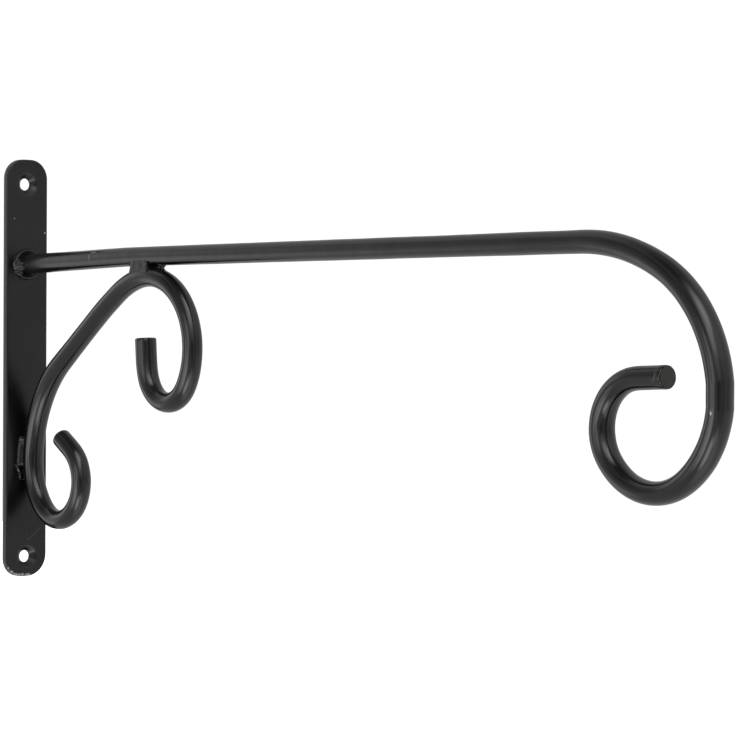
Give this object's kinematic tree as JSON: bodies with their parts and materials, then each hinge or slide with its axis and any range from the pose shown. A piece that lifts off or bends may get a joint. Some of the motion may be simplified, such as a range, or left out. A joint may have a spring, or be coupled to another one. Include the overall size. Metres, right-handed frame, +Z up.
{
  "type": "lantern wall bracket",
  "caption": "Black steel wall bracket: a flat back plate, a round arm that curls into a hook for a lantern, and a scrolled brace under it.",
  "frame": {"origin": "centre of the plate's back face, on the wall", "axes": "+X out of the wall along the arm, +Z up, +Y across the plate"},
  "size_m": [0.4055, 0.02, 0.176],
  "materials": {
    "plate_paint": "satin black paint",
    "rod_paint": "satin black paint",
    "weld_paint": "satin black paint over rough weld metal"
  },
  "bodies": {
    "root": {"back_plate": "plate_paint", "arm_rod": "rod_paint", "brace_rod": "rod_paint", "arm_root_weld": "weld_paint", "foot_weld_left": "weld_paint", "foot_weld_right": "weld_paint", "crown_weld": "weld_paint"}
  },
  "joints": []
}
